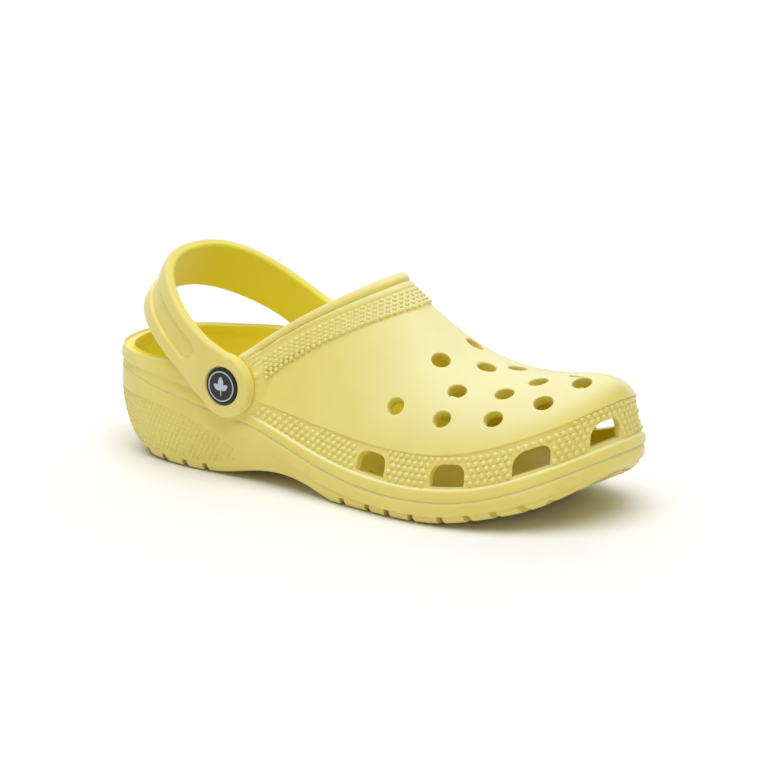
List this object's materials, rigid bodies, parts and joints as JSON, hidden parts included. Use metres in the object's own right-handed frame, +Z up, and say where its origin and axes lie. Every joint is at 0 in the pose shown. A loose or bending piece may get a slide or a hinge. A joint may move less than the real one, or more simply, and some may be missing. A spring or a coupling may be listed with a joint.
{
  "type": "garden clog",
  "caption": "Slip-on moulded foam garden clog with a vented upper, drain ports round the toe and a heel strap that swings on snap rivets.",
  "frame": {"origin": "middle of the whole object's footprint, on the ground", "axes": "+X to the toe, +Y to the inner side of the foot (this is a right shoe), +Z up"},
  "size_m": [0.2632, 0.1052, 0.0936],
  "materials": {
    "foam": "matte closed-cell foam",
    "strap_foam": "matte closed-cell foam",
    "rivet_nylon": "satin moulded nylon",
    "cap_nylon": "satin moulded nylon",
    "badge": "printed and lacquered"
  },
  "bodies": {
    "clog": {"clog_body": "foam", "rivet_stud_right": "rivet_nylon", "rivet_stud_left": "rivet_nylon", "rivet_cap_right": "cap_nylon", "rivet_cap_left": "cap_nylon", "rivet_badge_right": "badge", "rivet_badge_left": "badge"},
    "strap": {"heel_strap": "strap_foam"}
  },
  "joints": [
    {"name": "strap_hinge", "type": "hinge", "parent": "clog", "child": "strap", "pos_m": [-0.04862, 0.00105, 0.0437], "axis": [0, 1, 0], "range_deg": [-8, 93]}
  ]
}
